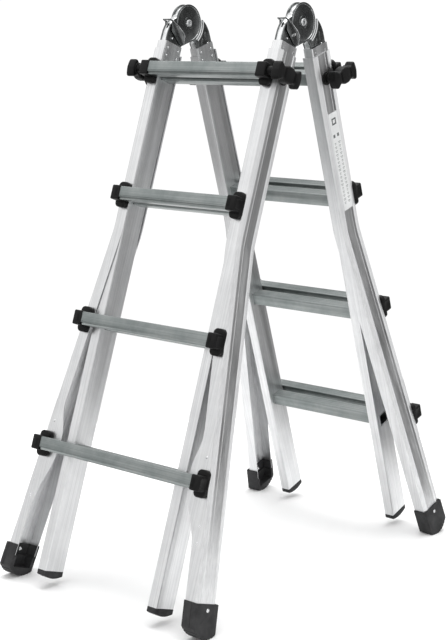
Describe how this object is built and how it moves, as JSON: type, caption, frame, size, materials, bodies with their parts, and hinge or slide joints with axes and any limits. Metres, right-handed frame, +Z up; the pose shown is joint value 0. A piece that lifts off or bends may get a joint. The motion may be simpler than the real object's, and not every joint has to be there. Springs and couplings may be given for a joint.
{
  "type": "multi position ladder",
  "caption": "Telescopic folding ladder: two hinged halves, each an inner ladder sliding in a flared outer ladder, with lock grips and rubber boots.",
  "frame": {"origin": "on the floor under the hinge pivots, in the middle of the ladder", "axes": "+X to the ladder's right along the rungs, +Y from the front half to the rear half, +Z up"},
  "size_m": [0.5672, 0.927, 1.2347],
  "materials": {
    "rail_aluminium": "extruded mill finish, satin, light draw lines along the rail",
    "rung_aluminium": "mill finish, slightly darker, brushed along the rung",
    "black_plastic": "moulded, fine grain, matte",
    "zinc_steel": "bright zinc plate on pressed steel"
  },
  "bodies": {
    "front_inner": {"front_inner_rail_left": "rail_aluminium", "front_inner_rail_right": "rail_aluminium", "front_inner_rung_1": "rung_aluminium", "front_inner_rung_2": "rung_aluminium", "front_inner_rung_3": "rung_aluminium", "front_inner_rung_4": "rung_aluminium", "front_inner_foot_left": "black_plastic", "front_inner_foot_right": "black_plastic", "front_hinge_plate_left": "zinc_steel", "front_hinge_plate_right": "zinc_steel", "hinge_pivot_left": "zinc_steel", "hinge_pivot_right": "zinc_steel"},
    "rear_inner": {"rear_inner_rail_left": "rail_aluminium", "rear_inner_rail_right": "rail_aluminium", "rear_inner_rung_1": "rung_aluminium", "rear_inner_rung_2": "rung_aluminium", "rear_inner_rung_3": "rung_aluminium", "rear_inner_rung_4": "rung_aluminium", "rear_inner_foot_left": "black_plastic", "rear_inner_foot_right": "black_plastic", "rear_hinge_plate_left": "zinc_steel", "rear_hinge_plate_right": "zinc_steel"},
    "front_outer": {"front_outer_rail_left": "rail_aluminium", "front_outer_rail_right": "rail_aluminium", "front_outer_rung_1": "rung_aluminium", "front_outer_rung_2": "rung_aluminium", "front_outer_rung_3": "rung_aluminium", "front_outer_rung_4": "rung_aluminium", "front_rung_cap_1_left": "black_plastic", "front_rung_cap_1_right": "black_plastic", "front_rung_cap_2_left": "black_plastic", "front_rung_cap_2_right": "black_plastic", "front_rung_cap_3_left": "black_plastic", "front_rung_cap_3_right": "black_plastic", "front_rung_cap_4_left": "black_plastic", "front_rung_cap_4_right": "black_plastic", "front_boot_left": "black_plastic", "front_boot_right": "black_plastic"},
    "rear_outer": {"rear_outer_rail_left": "rail_aluminium", "rear_outer_rail_right": "rail_aluminium", "rear_outer_rung_1": "rung_aluminium", "rear_outer_rung_2": "rung_aluminium", "rear_outer_rung_3": "rung_aluminium", "rear_outer_rung_4": "rung_aluminium", "rear_rung_cap_1_left": "black_plastic", "rear_rung_cap_1_right": "black_plastic", "rear_rung_cap_2_left": "black_plastic", "rear_rung_cap_2_right": "black_plastic", "rear_rung_cap_3_left": "black_plastic", "rear_rung_cap_3_right": "black_plastic", "rear_rung_cap_4_left": "black_plastic", "rear_rung_cap_4_right": "black_plastic", "rear_boot_left": "black_plastic", "rear_boot_right": "black_plastic"},
    "front_lock_left": {"front_lock_grip_left": "black_plastic"},
    "front_lock_right": {"front_lock_grip_right": "black_plastic"},
    "rear_lock_left": {"rear_lock_grip_left": "black_plastic"},
    "rear_lock_right": {"rear_lock_grip_right": "black_plastic"},
    "lever_left": {"hinge_lever_left": "zinc_steel"},
    "lever_right": {"hinge_lever_right": "zinc_steel"}
  },
  "joints": [
    {"name": "fold", "type": "hinge", "parent": "front_inner", "child": "rear_inner", "pos_m": [0, 0, 1.19372], "axis": [1, 0, 0], "range_deg": [-37.2, 142.8]},
    {"name": "front_extend", "type": "slide", "parent": "front_inner", "child": "front_outer", "axis": [0, -0.319, -0.9478], "range_m": [0, 0.84]},
    {"name": "rear_extend", "type": "slide", "parent": "rear_inner", "child": "rear_outer", "axis": [0, 0.319, -0.9478], "range_m": [0, 0.84]},
    {"name": "front_lock_pin_left", "type": "slide", "parent": "front_outer", "child": "front_lock_left", "axis": [-1, 0, 0], "range_m": [-0.012, 0]},
    {"name": "front_lock_pin_right", "type": "slide", "parent": "front_outer", "child": "front_lock_right", "axis": [1, 0, 0], "range_m": [-0.012, 0]},
    {"name": "rear_lock_pin_left", "type": "slide", "parent": "rear_outer", "child": "rear_lock_left", "axis": [-1, 0, 0], "range_m": [-0.012, 0]},
    {"name": "rear_lock_pin_right", "type": "slide", "parent": "rear_outer", "child": "rear_lock_right", "axis": [1, 0, 0], "range_m": [-0.012, 0]},
    {"name": "hinge_release_left", "type": "hinge", "parent": "front_inner", "child": "lever_left", "pos_m": [-0.1585, -0.02447, 1.15237], "axis": [1, 0, 0], "range_deg": [0, 10], "stiffness_Nm_per_rad": 0.5, "springref_deg": -5.73},
    {"name": "hinge_release_right", "type": "hinge", "parent": "front_inner", "child": "lever_right", "pos_m": [0.1585, -0.02447, 1.15237], "axis": [1, 0, 0], "range_deg": [0, 10], "stiffness_Nm_per_rad": 0.5, "springref_deg": -5.73}
  ]
}
